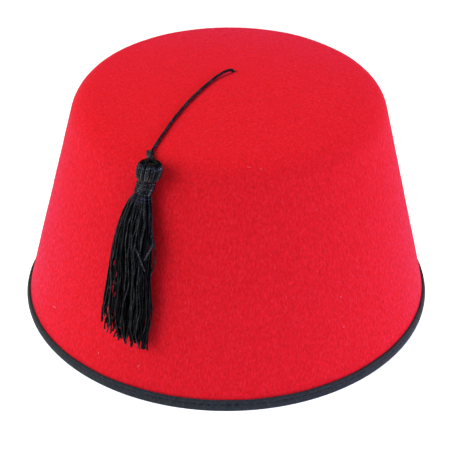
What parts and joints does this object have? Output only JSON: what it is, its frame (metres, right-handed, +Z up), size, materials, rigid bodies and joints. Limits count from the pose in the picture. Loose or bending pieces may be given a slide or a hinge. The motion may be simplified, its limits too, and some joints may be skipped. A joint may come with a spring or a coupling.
{
  "type": "fez hat",
  "caption": "Fez hat: a stiff red felt crown, open below, with a black bound rim and a black thread tassel hanging on a twisted cord from the middle of the top.",
  "frame": {"origin": "middle of the rim, on the surface that the hat stands on", "axes": "+Z up through the crown, -Y to the front, +X to the right as seen from the front; the tassel hangs to the front left"},
  "size_m": [0.1944, 0.1944, 0.1144],
  "materials": {
    "felt": "matt pressed wool felt with a fine short nap",
    "binding_tape": "matt woven tape with fine ribs",
    "thread": "twisted thread with a soft silky sheen"
  },
  "bodies": {
    "root": {"crown": "felt", "rim_binding": "binding_tape", "cord": "thread", "inner_knot": "thread", "tassel_knot": "thread", "tassel": "thread", "tassel_band": "thread"}
  },
  "joints": []
}
